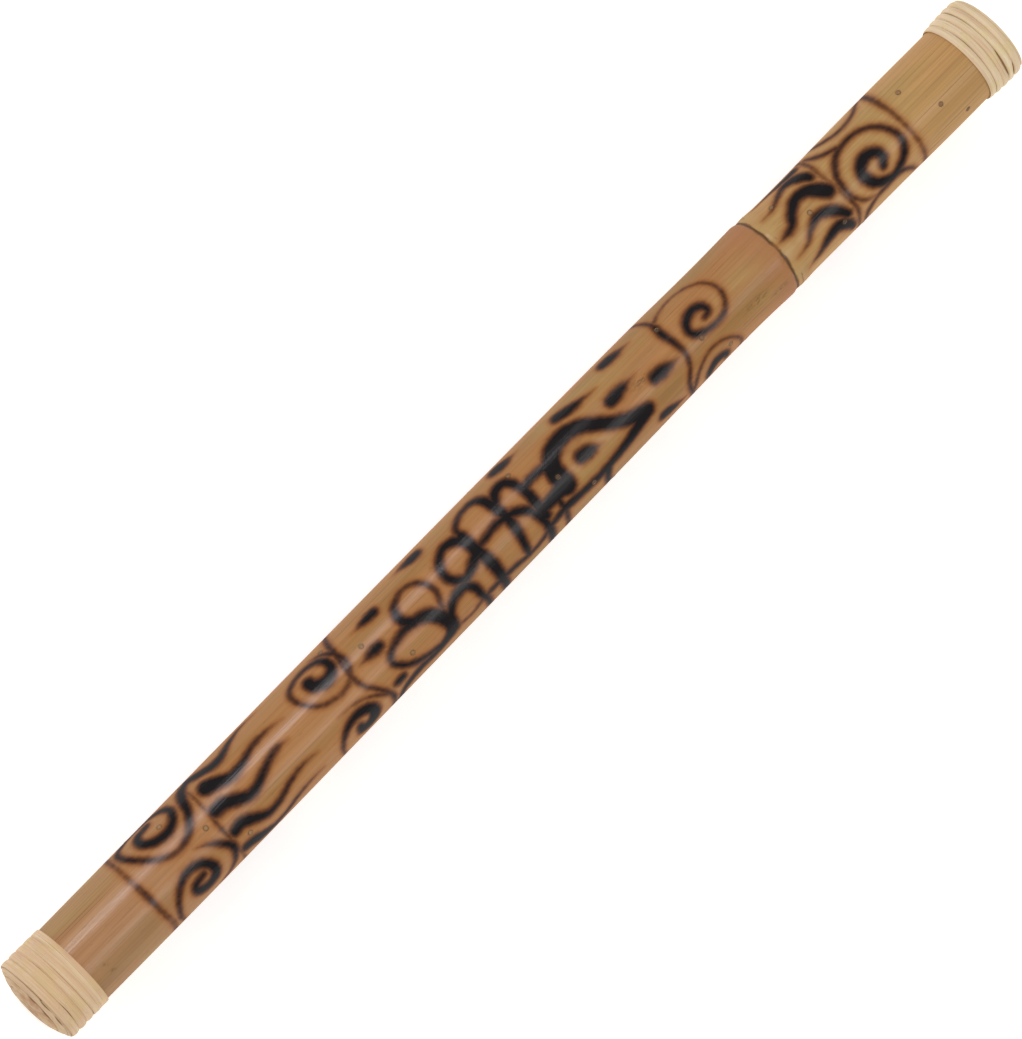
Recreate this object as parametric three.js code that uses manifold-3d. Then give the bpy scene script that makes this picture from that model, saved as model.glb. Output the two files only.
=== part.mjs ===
// A bamboo rainstick: a hollow culm whose bore is crossed by a helix of pegs, closed by two
// plugs that are bound and covered with rattan, with loose pebbles that run from end to end.
//
// Millimetres. The stick lies along X on the plane Z = 0, with its middle at X = 0 and its axis
// at Z = REST_RADIUS. Angles round the stick are measured from +Z and grow towards -Y.

import * as THREE from "three";
import { mergeVertices } from "three/addons/utils/BufferGeometryUtils.js";
import Module from "manifold-3d";

const wasm = await Module();
wasm.setup();

// ---- driving dimensions ------------------------------------------------------------------

const HALF_LENGTH = 305; // middle to the flat centre of an end disc
const DISC_DEPTH = 4.7; // how far an end disc stands out past the culm
const CULM_HALF = 300; // middle to the sawn end of the culm
const BORE_RADIUS = 15.2;
const NODE_X = 152; // the one node of the bamboo, measured from the middle
const LEDGE_RADIUS = 14.45; // what is left of the knocked-out node wall
const REST_RADIUS = 22; // rattan winding, middle to the flats that it rests on

const CANE_PITCH = 4.4; // width of one strand of rattan
const WINDING_TURNS = 5;
const CANE_GROOVE = 1; // depth of the groove between two strands
const CLEARANCE = 0.3; // left between pieces that touch

const PLUG_THICKNESS = 12;

const PEG_RADIUS = 1.1;
const PEG_PAST_AXIS = 5; // how far a peg's tip reaches beyond the axis
const PEGS_PER_TURN = 8;
const FIRST_PEG = -5; // pegs are counted from the first turn's front peg, number 0
const LAST_PEG = 41;
// The helix was drilled by hand: where each turn's front peg sits along the stick, and how many
// degrees the pegs on the front of that turn lean from their exact place on the circle.
const TURN_X = [-199, -96, 17, 106, 180, 257];
const TURN_LEAN = [-1, -21, 5, 12, -2, 21];

const PEBBLE_RADIUS = 1.8;
const PEBBLE_TRACK_RADIUS = 12.3; // axis to pebble centre
// Each pebble runs in one of the clear lanes between the rows of pegs: [x at rest, lane angle].
const PEBBLES = [
  [-214, 157.5],
  [-72, 202.5],
  [96, 112.5],
  [228, 247.5],
];

const SIDES = 24; // flats round the culm and the rattan
const FLAT_TO_CORNER = 1 / Math.cos(Math.PI / SIDES);

// Outer radius of the culm along its length. It tapers towards +X and swells at the node.
const CULM_RADIUS = [
  [-CULM_HALF, 20.5],
  [-232, 20.7],
  [-100, 20.45],
  [0, 20.1],
  [73, 19.75],
  [118, 19.15],
  [132, 19.15],
  [NODE_X - 7, 19.5],
  [NODE_X, 19.8],
  [NODE_X + 4.5, 19.6],
  [NODE_X + 9, 19.1],
  [NODE_X + 17, 18.95],
  [212, 19.2],
  [CULM_HALF, 19.65],
];

// ---- materials ---------------------------------------------------------------------------

const bamboo = new THREE.MeshStandardMaterial({ color: 0xb0814e, roughness: 0.35, metalness: 0 });
const pegWood = new THREE.MeshStandardMaterial({ color: 0xd2b48c, roughness: 0.6, metalness: 0 });
const rattan = new THREE.MeshStandardMaterial({ color: 0xd4ba91, roughness: 0.55, metalness: 0 });
const plugWood = new THREE.MeshStandardMaterial({ color: 0xb99a6b, roughness: 0.7, metalness: 0 });
const stone = new THREE.MeshStandardMaterial({ color: 0x77716a, roughness: 0.8, metalness: 0 });

// ---- helpers -----------------------------------------------------------------------------

// A body of revolution about X. The profile lists [x, radius to the flats], going towards +X
// on the outside, and either closes on itself or starts and ends on the axis.
function turned(profile) {
  const points = profile.map(([x, radius]) => new THREE.Vector2(radius * FLAT_TO_CORNER, x));
  const geometry = new THREE.LatheGeometry(points, SIDES, Math.PI / SIDES);
  return geometry.rotateZ(-Math.PI / 2);
}

function toSolid(geometry) {
  const bare = geometry.clone();
  bare.deleteAttribute("normal");
  bare.deleteAttribute("uv");
  const merged = mergeVertices(bare, 1e-4);
  return new wasm.Manifold(
    new wasm.Mesh({
      numProp: 3,
      vertProperties: new Float32Array(merged.attributes.position.array),
      triVerts: new Uint32Array(merged.index.array),
    }),
  );
}

function toGeometry(solid) {
  const { vertProperties, triVerts } = solid.getMesh();
  const geometry = new THREE.BufferGeometry();
  geometry.setAttribute("position", new THREE.BufferAttribute(vertProperties, 3));
  geometry.setIndex(new THREE.BufferAttribute(triVerts, 1));
  geometry.computeVertexNormals();
  return geometry;
}

// Linear interpolation in a list of [x, value], held at its ends.
function interpolate(table, x) {
  const next = table.findIndex(([at]) => at >= x);
  if (next <= 0) return next === 0 ? table[0][1] : table.at(-1)[1];
  const [x0, v0] = table[next - 1];
  const [x1, v1] = table[next];
  return THREE.MathUtils.lerp(v0, v1, (x - x0) / (x1 - x0));
}

const culmRadius = (x) => interpolate(CULM_RADIUS, x);

// Where peg number i enters: its place along the stick and its angle round it. Pegs on the
// front lean with their turn, and those on the back keep to the exact eighths of the circle,
// which leaves the lanes there clear.
function pegPlace(i) {
  const turn = i / PEGS_PER_TURN;
  const from = THREE.MathUtils.clamp(Math.floor(turn), 0, TURN_X.length - 2);
  const x = TURN_X[from] + (turn - from) * (TURN_X[from + 1] - TURN_X[from]);
  const exact = (i * 2 * Math.PI) / PEGS_PER_TURN;
  const lean = THREE.MathUtils.degToRad(TURN_LEAN[Math.max(0, Math.round(turn))]);
  return { x, angle: exact + lean * Math.max(0, Math.cos(exact)) };
}

// A round bar along a radius of the stick, from one distance off the axis to another.
function radialBar(place, radius, inner, outer) {
  const bar = new THREE.CylinderGeometry(radius, radius, outer - inner, 8);
  bar.translate(0, (inner + outer) / 2, 0);
  bar.rotateX(Math.PI / 2 + place.angle);
  bar.translate(place.x, 0, 0);
  return bar;
}

// ---- the stick, built about its own axis ---------------------------------------------------

const stick = new THREE.Group();
stick.position.z = REST_RADIUS;

function addPiece(name, geometry, material) {
  const mesh = new THREE.Mesh(geometry, material);
  mesh.name = name;
  stick.add(mesh);
  return mesh;
}

const pegs = [];
for (let i = FIRST_PEG; i <= LAST_PEG; i += 1) pegs.push(pegPlace(i));

function culm() {
  const bore = [
    [CULM_HALF, BORE_RADIUS],
    [NODE_X + 3, BORE_RADIUS],
    [NODE_X + 1.5, LEDGE_RADIUS],
    [NODE_X - 1.5, LEDGE_RADIUS],
    [NODE_X - 3, BORE_RADIUS],
    [-CULM_HALF, BORE_RADIUS],
  ];
  let body = toSolid(turned([...CULM_RADIUS, ...bore, CULM_RADIUS[0]]));
  for (const place of pegs) {
    const hole = radialBar(place, PEG_RADIUS + CLEARANCE, BORE_RADIUS - 4, REST_RADIUS);
    body = body.subtract(toSolid(hole));
  }
  return toGeometry(body);
}

function peg(place) {
  const head = culmRadius(place.x) - 0.1;
  return radialBar(place, PEG_RADIUS, -PEG_PAST_AXIS, head);
}

function endPlug() {
  const radius = BORE_RADIUS - CLEARANCE;
  const inner = CULM_HALF - PLUG_THICKNESS;
  return turned([
    [inner, 0],
    [inner, radius],
    [CULM_HALF, radius],
    [CULM_HALF, 0],
  ]);
}

// Five turns of cane side by side, each with a flat crest and a groove to the next.
function rimWinding(innerRadius) {
  const shoulder = CANE_PITCH / 4;
  const start = CULM_HALF - WINDING_TURNS * CANE_PITCH;
  const groove = REST_RADIUS - CANE_GROOVE;
  const outside = [];
  for (let turn = 0; turn < WINDING_TURNS; turn += 1) {
    const x = start + turn * CANE_PITCH;
    outside.push([x, groove], [x + shoulder, REST_RADIUS], [x + CANE_PITCH - shoulder, REST_RADIUS]);
  }
  const end = [CULM_HALF, groove];
  return turned([...outside, end, [CULM_HALF, innerRadius], [start, innerRadius], [start, groove]]);
}

// Cane coiled flat over the end: a level middle that falls away to a rounded rim.
function endDisc() {
  const back = HALF_LENGTH - DISC_DEPTH;
  return turned([
    [back, 0],
    [back, 21.2],
    [back + 1.2, 21.2],
    [back + 2.6, 20.2],
    [back + 3.6, 17.6],
    [back + 4.3, 14],
    [HALF_LENGTH, 9],
    [HALF_LENGTH, 0],
  ]);
}

addPiece("culm", culm(), bamboo);
pegs.forEach((place, i) => {
  addPiece(`peg_${String(i + 1).padStart(2, "0")}`, peg(place), pegWood);
});

// The parts of one end are built at +X. The -X end is the same, turned half round about Z.
for (const [side, turn] of [["left", Math.PI], ["right", 0]]) {
  const seat = culmRadius(turn ? -CULM_HALF : CULM_HALF) + CLEARANCE;
  const pieces = [
    addPiece(`${side}_plug`, endPlug(), plugWood),
    addPiece(`${side}_rim_winding`, rimWinding(seat), rattan),
    addPiece(`${side}_end_disc`, endDisc(), rattan),
  ];
  for (const piece of pieces) piece.rotation.z = turn;
}

PEBBLES.forEach(([x, laneDegrees], i) => {
  const lane = THREE.MathUtils.degToRad(laneDegrees);
  const pebble = addPiece(`pebble_${i + 1}`, new THREE.IcosahedronGeometry(PEBBLE_RADIUS, 1), stone);
  const radius = PEBBLE_TRACK_RADIUS;
  pebble.position.set(x, -radius * Math.sin(lane), radius * Math.cos(lane));
});

const rainstick = new THREE.Group();
rainstick.add(stick);

export default rainstick;
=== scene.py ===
"""A bamboo rainstick: burnt culm, helix of pegs, rattan-bound ends and loose pebbles inside.

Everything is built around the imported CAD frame, in metres. The stick lies along X. The
functions below work in millimetres along the stick and in degrees round it, counted from
straight up and growing towards -Y, and only place() turns those into points.
"""

import math

import bpy
import numpy as np
from mathutils import Matrix, Vector


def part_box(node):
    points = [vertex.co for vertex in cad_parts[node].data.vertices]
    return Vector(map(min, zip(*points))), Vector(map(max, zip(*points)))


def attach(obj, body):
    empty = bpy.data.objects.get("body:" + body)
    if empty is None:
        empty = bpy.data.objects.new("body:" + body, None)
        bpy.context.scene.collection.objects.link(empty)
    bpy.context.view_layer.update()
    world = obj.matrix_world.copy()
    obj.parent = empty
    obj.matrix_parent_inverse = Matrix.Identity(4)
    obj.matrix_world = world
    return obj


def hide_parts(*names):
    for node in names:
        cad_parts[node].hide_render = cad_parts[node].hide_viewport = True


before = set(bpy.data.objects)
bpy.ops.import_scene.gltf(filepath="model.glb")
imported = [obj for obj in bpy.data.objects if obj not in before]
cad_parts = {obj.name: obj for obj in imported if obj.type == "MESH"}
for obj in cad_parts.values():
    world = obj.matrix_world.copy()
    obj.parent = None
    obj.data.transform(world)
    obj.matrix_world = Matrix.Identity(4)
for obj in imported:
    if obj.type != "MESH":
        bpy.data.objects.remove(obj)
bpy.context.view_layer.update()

MM = 0.001
CULM_LOW, CULM_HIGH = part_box("culm")
AXIS_Z = (CULM_LOW.z + CULM_HIGH.z) / 2
# mm from the middle: the culm's sawn end, a plug's inner face, a winding's inner side, a disc's back.
CULM_HALF = CULM_HIGH.x / MM
PLUG_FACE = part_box("right_plug")[0].x / MM
BARE_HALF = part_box("right_rim_winding")[0].x / MM
DISC_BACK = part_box("right_end_disc")[0].x / MM
BORE_RADIUS = 15.2
LEDGE_X, LEDGE_RADIUS = 152, 14.45  # what is left of the wall inside the node
SEED = 11  # for the small random differences between pieces


# ---- the culm's shape ----

# Outer radius: it tapers towards +X, swells at the node and has the sheath's scar just past it.
CULM_RADIUS = [
    (-300, 20.5), (-232, 20.76), (-100, 20.7), (0, 20.45), (73, 20.1), (97, 19.85),
    (118, 19.5), (132, 19.48), (144, 19.66), (152, 19.86), (155.8, 19.82), (157.2, 19.4),
    (158.2, 19.4), (159.8, 19.6), (163.5, 19.54), (168, 19.28), (172, 19.24), (212, 19.5),
    (254, 19.75), (300, 19.7),
]
# The culm isn't quite straight, and it turns at the node: mm that its skin leans towards +Y.
CULM_LEAN = [(-300, 0), (-240, 0), (-100, .65), (20, 1.15), (125, 1.25), (152, .9), (166, .62), (230, .4),
             (275, 0), (300, 0)]
SCAR_X = 157.6
SCAR_REACH = 9  # mm on each side of the scar where the node's shape follows its tilt


def smooth_lookup(table, x):
    """Values at x of a table of (x, value), along a smooth curve through its points."""
    xs, ys = np.array(table, float).T
    slope = np.gradient(ys, xs)
    x = np.clip(x, xs[0], xs[-1])
    i = np.clip(np.searchsorted(xs, x) - 1, 0, len(xs) - 2)
    h = xs[i + 1] - xs[i]
    t = (x - xs[i]) / h
    return (ys[i] * (1 + 2 * t) * (1 - t) ** 2 + slope[i] * h * t * (1 - t) ** 2
            + ys[i + 1] * t * t * (3 - 2 * t) - slope[i + 1] * h * t * t * (1 - t))


def scar_line(degrees):
    """Where the sheath's scar runs, in mm along the stick. It isn't quite square to the stick."""
    a = np.radians(degrees)
    return SCAR_X - 0.9 + 1.3 * np.cos(a) - 0.55 * np.sin(a) + 0.15 * np.sin(5 * a + 1)


def outer_radius(x, degrees):
    """The culm's outer radius in mm: the table, shifted to follow the scar, a little oval and
    leaning to one side."""
    a = np.radians(degrees)
    near_scar = np.exp(-((x - SCAR_X) / SCAR_REACH) ** 2)
    radius = smooth_lookup(CULM_RADIUS, x - (scar_line(degrees) - SCAR_X) * near_scar)
    uneven = 0.07 * np.cos(2 * a + x / 90) + 0.03 * np.cos(7 * a + x / 140)
    return radius + uneven - smooth_lookup(CULM_LEAN, x) * np.sin(a)


def place(x, radius, degrees):
    """Points in metres from mm along, mm from the axis and degrees round the stick."""
    a = np.radians(degrees)
    x, radius, a = np.broadcast_arrays(x, radius, a)
    return np.stack([x * MM, -radius * np.sin(a) * MM, AXIS_Z + radius * np.cos(a) * MM], -1)


# ---- the burnt pattern ----

PATTERN_RADIUS = 20.0  # mm, turns an angle on the culm into a length round it
ROUND = 2 * math.pi * PATTERN_RADIUS
HEAT_FALL = 0.3  # per mm, outwards from a stroke's edge
EDGE_HEAT = 0.5  # a stroke's heat at its edge, as a share of its burn
CORE_HEAT = 1.1  # the most heat that a stroke reaches, as a share of its burn
COLD = -1.5  # the heat far from every stroke
FAR = 9.0  # mm, beyond which a stroke isn't felt and a peg doesn't show
CHAIN_TIP = 1.16  # how much wider the tip is that draws the chain

# A stroke is (points, widths, burns). Points are (mm along, degrees round), joined by a smooth
# curve. Widths in mm and burns, from 0.1 hardly toasted to 1 black, are spread evenly over it.
# Everything here is burnt twice, on opposite sides of the culm.
SCROLLS = [
    # the big scrolls beside the left burn ring
    ([(-215, -66), (-221, -62), (-222.5, -48), (-219, -36), (-212, -31), (-206, -38), (-203.5, -52),
      (-206, -68), (-213, -80), (-223, -83), (-230.5, -74), (-232.8, -60), (-231.3, -44), (-228, -30),
      (-222.5, -15), (-215, -6), (-207.5, -9), (-202, -20), (-198.6, -34), (-196.6, -50), (-194, -64),
      (-189, -75)],
     [5, 5, 5, 4.6, 4.4, 3.6, 4.2, 3.6, 3.4, 3.4, 3.6, 4.4, 5.4, 6],
     [.8, .95, 1, .95, .9, .85, .85, .9, .9, .8, .5, .7, .9, .95, .9]),
    ([(-231, 78), (-231.8, 64), (-230.3, 48), (-227, 34), (-222.5, 24.5), (-217.5, 20.5), (-212, 24),
      (-208.3, 34), (-207.6, 46), (-210.5, 55.5), (-215.5, 56.5), (-219.5, 50), (-218.5, 41.5), (-213, 38)],
     [2.6, 3, 3.4, 3.8, 4.2, 4.8, 5.6, 5.6, 4.8, 3.6], [.6, .8, .85, .9, .9, 1, 1, 1, 1, .9]),
    ([(-209, 6), (-202.5, 16), (-198, 28), (-195.5, 40), (-197, 54), (-200.5, 68), (-207, 80)],
     [1, 2.4, 4.2, 4.6, 3.6, 3, 2.6], [.15, .55, .8, .95, .8, .65, .5]),
    # the pair beside the wandering line
    ([(-123, -36), (-122.5, -28), (-117, -22), (-111.8, -28), (-111, -41), (-115, -54), (-122, -58),
      (-129.5, -52), (-133, -38), (-131.5, -20), (-126, -4), (-117.5, 2), (-109.5, -3), (-105.5, -20),
      (-106, -38), (-109.5, -53), (-115, -63)],
     [6.5, 6.2, 5, 3.8, 3.4, 3.4, 3, 2.8, 2.8, 3, 3.4, 3.4, 2.6],
     [1, 1, 1, .9, .85, .75, .65, .6, .5, .5, .75, .85, .3]),
    ([(-131.5, 80), (-131.5, 62), (-128.5, 47), (-123.5, 38), (-117, 36), (-111.5, 43), (-110.8, 55),
      (-114, 64), (-119, 62), (-119.5, 55)],
     [2.2, 2.8, 3.8, 4.6, 5.4, 7, 7, 5], [.6, .75, .85, .95, 1, 1, 1, 1]),
    ([(-125, 20), (-118, 21), (-111, 27), (-105.5, 37), (-101, 49)],
     [1.2, 2, 2.2, 2.6], [.15, .4, .6, .75]),
    # the pair left of the node
    ([(97, -48), (102.5, -55), (110, -58.5), (118, -53), (124.5, -38), (127, -17), (124.5, 2), (119.5, 11),
      (112.5, 11), (106, 5), (103.8, -5), (106, -16), (111.5, -22), (116, -17), (116.5, -8), (113.5, -4)],
     [2.6, 2, 2, 2, 2.2, 2.6, 3, 3.4, 4, 4.4, 4.4, 3], [.6, .5, .5, .55, .6, .7, .8, .85, 1, 1, 1, .9]),
    ([(88, 90), (90.5, 70), (94.5, 50), (101, 37), (107.5, 33), (114, 38), (119, 51), (121, 68), (120, 86)],
     [2.6, 2.8, 2.4, 2.4, 2.4, 2.4], [.7, .7, .55, .5, .55, .6]),
    ([(99.5, 78), (101, 66), (106, 58), (111, 62), (111.5, 72)], [4, 5.4, 6, 5, 4], [.9, 1, 1, 1, .9]),
    # the large scroll right of the node, and its neighbours
    ([(219, 24), (221.5, 13), (219.5, 2), (214.5, -1.5), (209.5, 8), (209.5, 24), (213.5, 39),
      (219.5, 47.5), (226, 42), (231.5, 28), (233.3, 10), (230.5, -12), (224, -30), (216, -35.5),
      (207, -30), (200.5, -12), (198.5, 8), (199.2, 26), (203, 42), (209, 52)],
     [4.6, 5.4, 6, 5.6, 5.4, 5, 4.6, 3.6, 3.2, 3, 3.2, 3.4, 3.2, 3, 2.8, 2.4],
     [.9, 1, 1, 1, 1, .95, .9, .85, .8, .75, .8, .85, .9, .8, .7, .5, .3]),
    ([(205, -82), (208.5, -68), (215, -58), (222, -57), (229, -64), (234, -80)],
     [3, 3, 3, 3, 2.8], [.8, .75, .6, .6, .7]),
    ([(198, -70), (200.5, -56), (205, -45), (210, -38)], [2.6, 3, 3, 3], [.6, .75, .7, .7]),
    ([(200, 82), (202, 66), (207.5, 56), (215, 52), (223, 51), (228.5, 60), (232, 76)],
     [2.4, 3.2, 3, 3.6, 4, 3, 2.4], [.7, .8, .5, .7, .85, .7, .6]),
]

# Flames: each swells from a thin, pale tail to a heavy black head.
FLAMES = [
    ([(-146, -72), (-156, -73), (-164, -66), (-171, -56), (-177, -55), (-183, -63), (-189, -74)],
     [1.4, 2.6, 3.6, 4.6, 5.6, 5.6, 6], [.15, .6, .8, .9, .95, .95, .9]),
    ([(-142, -28), (-150, -32), (-159, -31.5), (-168, -25), (-175, -23), (-181, -30), (-186, -37)],
     [1.4, 2.4, 3, 3.6, 4.6, 6, 8.4], [.1, .45, .8, .85, .95, 1, 1]),
    ([(-147, -6), (-154, -7.5), (-162, -1.5), (-169, 6), (-175, 9), (-180, 3), (-186, -6), (-191, -7)],
     [1.4, 3, 3.4, 3.8, 4.8, 5.6, 6.4, 6.2], [.15, .85, .95, 1, 1, 1, 1, 1]),
    ([(-141, 32), (-150, 29.5), (-159, 34), (-167, 42), (-174, 44), (-180, 35), (-186, 26), (-191, 27)],
     [1.4, 2.4, 2.8, 3.4, 4, 5, 6, 5.4], [.1, .5, .8, .85, .9, .95, 1, 1]),
    ([(-143, 58), (-151, 58), (-160, 62), (-168, 70), (-175, 72.5), (-182, 67), (-187, 60), (-191, 58)],
     [1.4, 2.2, 2.8, 3.4, 4, 5.4, 6.4, 5.6], [.15, .5, .7, .8, .85, .95, 1, .95]),
    ([(166, -76), (176, -76), (184, -72), (191, -70)], [1.6, 3, 4.6, 5.6], [.3, .7, .9, .95]),
    ([(163, -40), (170, -42), (176, -51), (182, -59), (187, -54), (191, -43), (192, -36)],
     [1.2, 2, 2.8, 3.4, 5, 6, 5], [.1, .4, .7, .85, .95, 1, 1]),
    ([(159, -2), (169, -5), (174, -18), (180, -28.5), (186, -26), (190, -15), (192.5, -5.5)],
     [1.2, 3.2, 4.4, 5.2, 6, 7.2, 7.4], [.1, .95, 1, 1, 1, 1, 1]),
    ([(162, 30), (170, 26), (175, 15), (181, 8.5), (186.5, 14), (190.5, 26), (193, 38)],
     [1.2, 2.2, 3, 4.2, 5.2, 5.6, 5], [.1, .45, .7, .95, 1, 1, .9]),
    ([(165, 59), (173, 52), (180, 44), (186, 41.5), (190, 50), (192, 60), (192.5, 67)],
     [1.2, 2.6, 4.2, 5.6, 6.6, 6, 4], [.15, .7, .9, 1, 1, .95, .8]),
]

# Drops: (mm along, degrees round, length of head, width of head, mm of tail, lean in degrees).
# A tail of positive length trails towards +X.
DROPS = [
    (-83, -42, 9, 5.2, -10, 0), (-91.5, -6, 7, 5, -11, 0), (-93.5, 46, 8.5, 4.6, -4, 0),
    (-50.5, -61, 9, 6.4, -12, -2), (37, -51, 8, 6, 20, 8), (70, -60, 10, 6.4, 12, 4),
    (59, -14, 10, 6, 13, -2), (80.5, 5, 10.5, 6.4, 12, 3), (73.5, 58, 10, 6, 12, 6),
    (2, -66, 9, 7.4, 12, 4), (33, 9, 12, 7, 7, 5),
]

# The chain of loops in the middle, its cross bars and the hooked leaf that ends it.
CHAIN = [
    ([(-68, 57), (-77, 51), (-85, 41), (-90, 28), (-91.5, 18), (-88, 8.5), (-81, 3), (-73.5, 3), (-67, 9),
      (-62.5, 22), (-61, 38), (-63, 51), (-68, 57)],
     [3, 3, 3.2, 3.2, 3, 3, 3.4, 4.4, 6, 7, 5.4, 4], [.9]),
    ([(-73, 3), (-76, -8), (-74.5, -24), (-68, -34), (-61, -31), (-57, -17), (-56.5, -2), (-59, 14),
      (-60.5, 28)],
     [4.6, 4.4, 3.4, 2.6, 2.8, 3, 3, 3], [1, .95, .75, .6, .7, .7, .65, .5]),
    ([(-97, 82), (-93, 67), (-83, 59.5), (-73, 60.5), (-62, 55)], [3.6, 4, 4, 4.6], [.9]),
    ([(-43, 13), (-47.5, 3), (-48.8, -10), (-46.5, -24), (-41, -34), (-35, -31), (-31.5, -17), (-32, -2),
      (-37, 6), (-43, 13)], [4, 4.2, 3.8, 3.8, 5, 5.6, 4.6, 3.6], [.95]),
    ([(-60, 52), (-58, 31), (-53, 19.5), (-46, 17.5), (-42.8, 28), (-42, 44), (-40.5, 60), (-40, 80)],
     [5, 4.2, 4, 4.6, 4.2, 4, 3.6, 3.6], [.95, .95, .95, .95, .95, .9, .85, .8]),
    ([(-58, 54), (-50, 57), (-42, 52), (-31, 51), (-22, 53.5), (-13, 57.5), (-5, 54.5), (2, 47),
      (11, 43.5)],
     [2.2, 2.4, 3, 3.6, 3.4, 3.2, 3.4, 4], [.5, .5, .8, .9, .8, .75, .85, .95]),
    ([(-31, -28), (-31, -5), (-30, 20), (-30, 48), (-29.5, 80)],
     [5, 5.4, 5.4, 5, 4.4], [1, 1, 1, .95, .85]),
    ([(-31.5, -28), (-29.5, -43), (-24, -53), (-17, -54), (-13, -43), (-11.8, -20), (-11.6, 0), (-12.4, 20),
      (-13.6, 42), (-14, 57)], [3.4, 3.2, 3.4, 4.6, 5, 4.6, 4, 3.8], [.9, .8, .85, .95, 1, 1, .95, .9]),
    ([(-31, -3), (-24.5, -5.5), (-18, -8), (-12, -6), (-6, 0), (-2, 11), (-.5, 28), (0, 45), (-.5, 80)],
     [3, 3.2, 3.6, 4, 4, 4, 4.4, 4.4], [.95, .9, .95, 1, 1, 1, .95, .85]),
    ([(-10, -28), (-6.5, -38), (-1.5, -39), (1.5, -26), (2.5, -8), (2, 10), (2, 30)],
     [4, 4.6, 4.6, 4, 4.6, 5, 5], [1]),
    ([(2, -14), (8, -17), (16, -15)], [3.6, 3.4, 4], [1]),
    ([(2, 20), (10, 20), (18, 16)], [5, 6, 8], [1]),
    ([(10.5, 22), (10.5, 44), (10, 62), (9.5, 80)], [3], [.95, .95, .85, .8]),
    ([(17.5, 22), (17.5, 0), (19.5, -13), (25, -24), (32.5, -26), (39.5, -20), (45.5, -7), (51.5, 7),
      (58.5, 19), (67, 28)],
     [8.4, 8.4, 7.2, 7, 6.6, 6, 5.6, 5.6, 6, 6.4], [1]),
    ([(67, 28), (59, 35), (50, 41.5), (40, 46), (30, 47.5), (20, 46), (11, 43)],
     [6.4, 5.4, 4.6, 4.4, 4.2, 4.2, 4.4], [1, 1, 1, .95, .95, .95, 1]),
    ([(37, 50), (35.5, 62), (35, 80)], [4.4, 4, 4], [.95, .9, .85]),
]

# Lines that run right round: strokes with the last point half a turn from the first.
GIRDLES = [
    ([(-236.6, -90), (-237.2, -60), (-237.6, -25), (-237.4, 0), (-237, 35), (-236, 62), (-236.6, 90)],
     [3.4, 3.2, 2.8, 3, 3.8, 3.2, 3.4, 3.6, 3.4], [.6, .5, .4, .45, .68, .45, .45, .55]),
    ([(-193.5, -90), (-192.8, -45), (-193.4, -20), (-194.4, 10), (-194.4, 30), (-193.5, 90)],
     [2.2, 2.4, 2.2, 2.6, 2.4, 2.2], [.5, .42, .42, .6, .45, .42]),
    ([(-101, -90), (-104.3, -62), (-106.2, -34), (-108.4, -6), (-107.6, 14), (-104, 30), (-101, 46),
      (-99.6, 62), (-101, 90)], [2.8, 3.2, 3.4, 2.8, 2.8, 3, 3.2, 2.8],
     [.65, .75, .9, .7, .65, .7, .8, .7]),
    ([(90, -90), (93.6, -62), (95.3, -45), (94.7, -28), (95.6, -8), (96, 8), (94.6, 24), (91.5, 38),
      (89, 54), (90, 90)], [2.6, 2.4, 2.8, 4, 3.4, 2.8, 2.8, 3, 3.2, 3],
     [.65, .6, .75, 1, .95, .75, .7, .75, .8, .75]),
    ([(195.5, -90), (196.4, -50), (195.8, -25), (196.6, 8), (198, 40), (196.4, 66), (195.5, 90)],
     [2.4, 2.6, 2.4, 2.2, 2.8, 2.6, 2.4], [.5, .55, .42, .38, .62, .55, .45]),
    ([(238.2, -90), (238, -60), (238.4, 0), (238.8, 40), (238.2, 90)],
     [3.4, 3.4, 2.8, 2.6, 2.6, 3], [.8, .62, .44, .4, .4, .5]),
]


def smooth_path(points, step=0.8):
    """A Catmull-Rom curve through points, sampled about every step."""
    p = np.array(points, float)
    p = np.vstack([2 * p[0] - p[1], p, 2 * p[-1] - p[-2]])
    out = []
    for a, b, c, d in zip(p, p[1:], p[2:], p[3:]):
        t = np.linspace(0, 1, max(2, math.ceil(np.linalg.norm(c - b) / step)), endpoint=False)[:, None]
        out.append(0.5 * (2 * b + (c - a) * t + (2 * a - 5 * b + 4 * c - d) * t * t
                          + (3 * b - a - 3 * c + d) * t ** 3))
    return np.vstack(out + [p[-2:-1]])


def spread(values, count):
    return np.interp(np.linspace(0, 1, count), np.linspace(0, 1, len(values)), values)


def drop_stroke(x, angle, length, width, tail, lean):
    """A drop as a stroke: an oval head, and a tail that pales and thins away from it."""
    side = math.copysign(1, tail)
    core = max(0.1, (length - width) / 2)
    reach = core + abs(tail)
    points = [(x - side * core, angle - lean * core / 10), (x + side * core, angle + lean * core / 10)]
    widths, burns = [width, width], [1, 1]
    if tail:
        points += [(x + side * (core + (reach - core) * f), angle + lean * (0.4 + f)) for f in (.35, 1)]
        widths, burns = [width * .94, width, width * .8, width * .42, .8], [1, 1, .8, .45, .1]
    return points, widths, burns


def pattern_strokes():
    """Every stroke as arrays: points in mm on the unrolled culm, radii in mm, burns."""
    drawn = SCROLLS + FLAMES + GIRDLES + [drop_stroke(*drop) for drop in DROPS]
    drawn += [(points, [w * CHAIN_TIP for w in widths], burns) for points, widths, burns in CHAIN]
    for points, widths, burns in drawn:
        path = smooth_path([(x, math.radians(a) * PATTERN_RADIUS) for x, a in points])
        for half_turn in (0, ROUND / 2):
            yield path + (0, half_turn), spread(widths, len(path)) / 2, spread(burns, len(path))


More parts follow.
